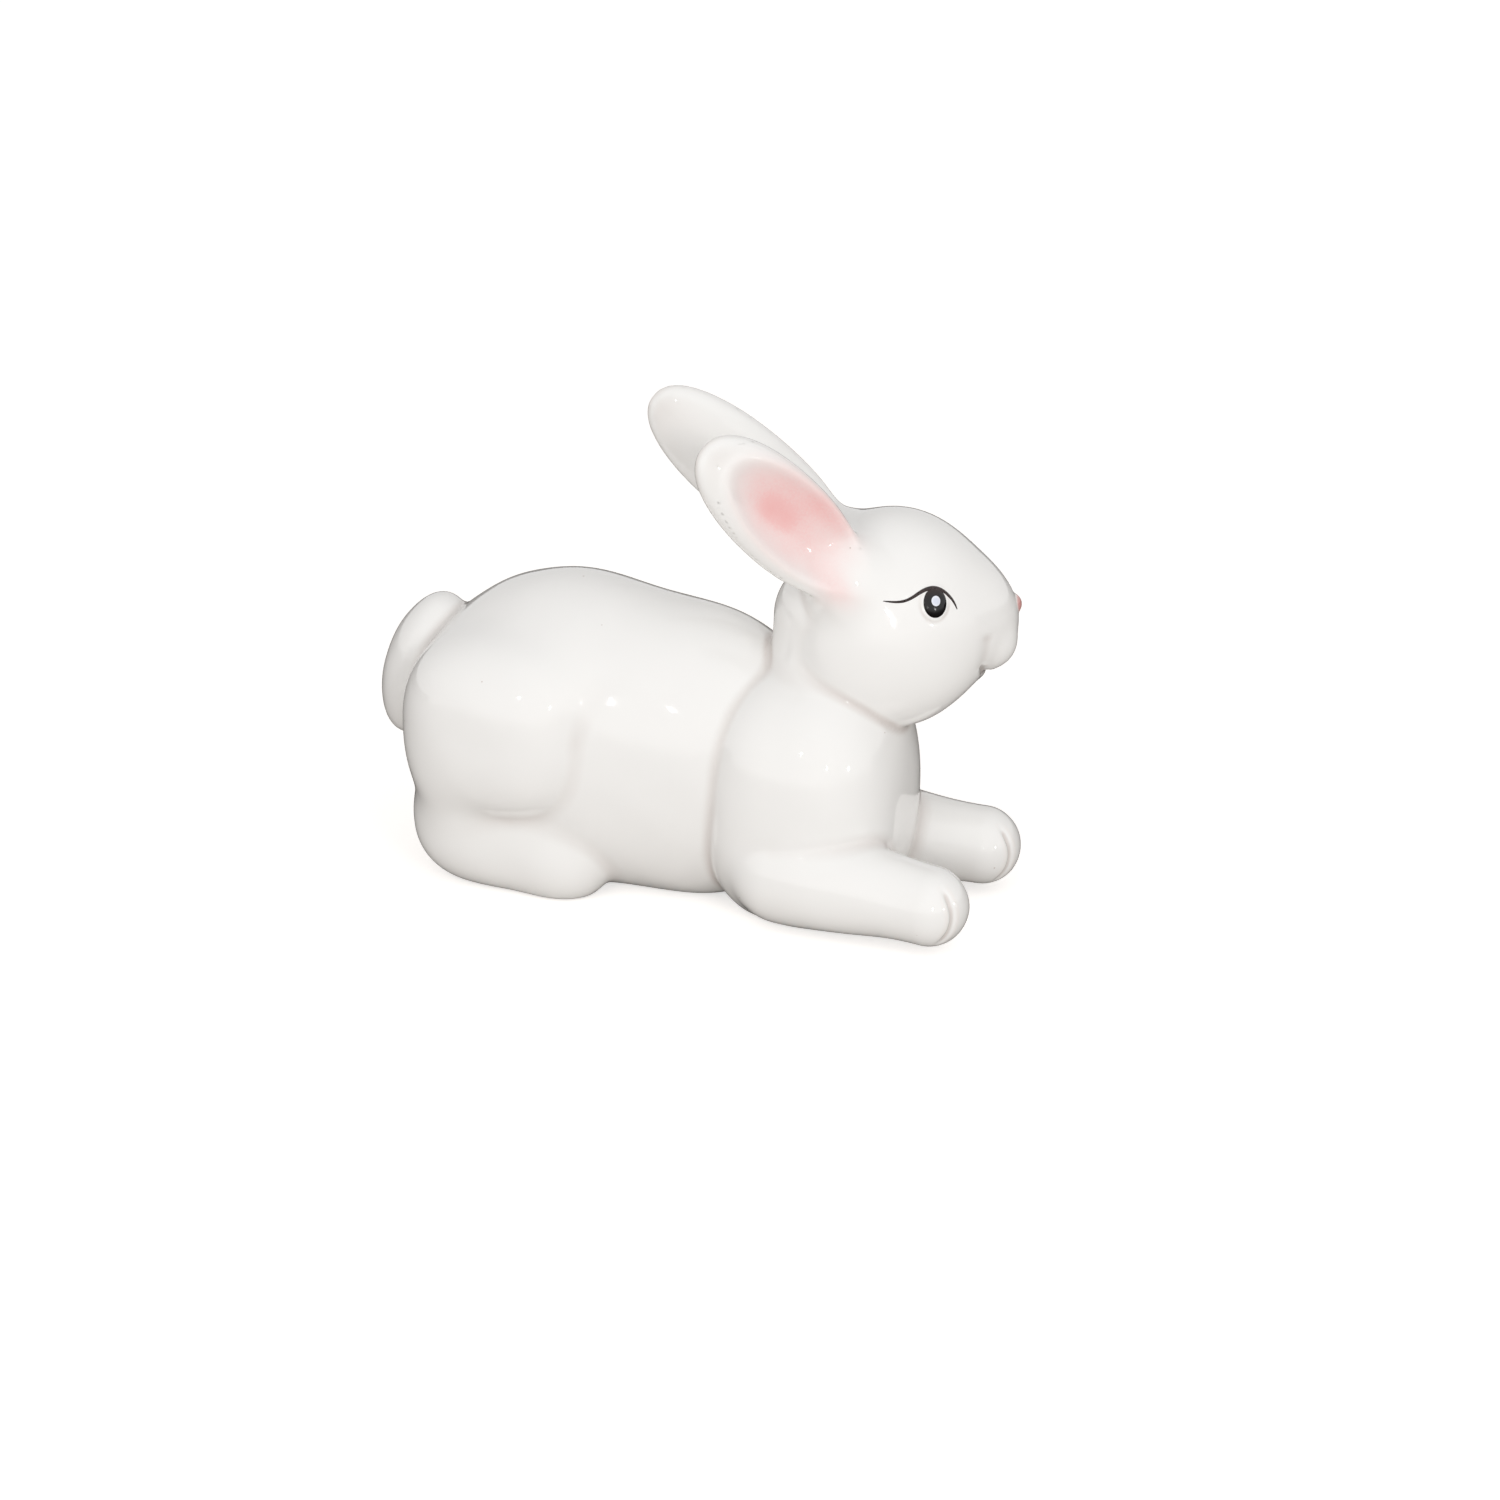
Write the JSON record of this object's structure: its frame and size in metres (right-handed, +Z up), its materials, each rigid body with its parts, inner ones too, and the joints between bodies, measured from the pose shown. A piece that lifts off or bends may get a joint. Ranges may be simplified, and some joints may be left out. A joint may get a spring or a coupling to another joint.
{
  "type": "ceramic rabbit figurine",
  "caption": "Lying rabbit figurine in white glazed earthenware, head turned aside, swept-back ears with pink hollows, black enamel eyes and a pink nose; rests on its flat belly.",
  "frame": {"origin": "on the table plane, in the flat base under the middle of the trunk", "axes": "+X from tail to forepaws, +Y towards the rabbit's left, +Z up"},
  "size_m": [0.1493, 0.066, 0.1166],
  "materials": {
    "white_glaze": "gloss",
    "pink_blush": "gloss",
    "nose_pink": "gloss",
    "black_enamel": "gloss",
    "glint_enamel": "gloss",
    "brown_enamel": "gloss"
  },
  "bodies": {
    "root": {"torso_casting": "white_glaze", "head_casting": "white_glaze", "right_haunch": "white_glaze", "left_haunch": "white_glaze", "right_hind_foot": "white_glaze", "left_hind_foot": "white_glaze", "right_foreleg": "white_glaze", "left_foreleg": "white_glaze", "tail": "white_glaze", "right_ear": "white_glaze", "left_ear": "white_glaze", "right_ear_blush": "pink_blush", "left_ear_blush": "pink_blush", "nose": "nose_pink", "right_eye": "black_enamel", "left_eye": "black_enamel", "right_eye_glint": "glint_enamel", "left_eye_glint": "glint_enamel", "right_lash_line": "brown_enamel", "left_lash_line": "brown_enamel"}
  },
  "joints": []
}
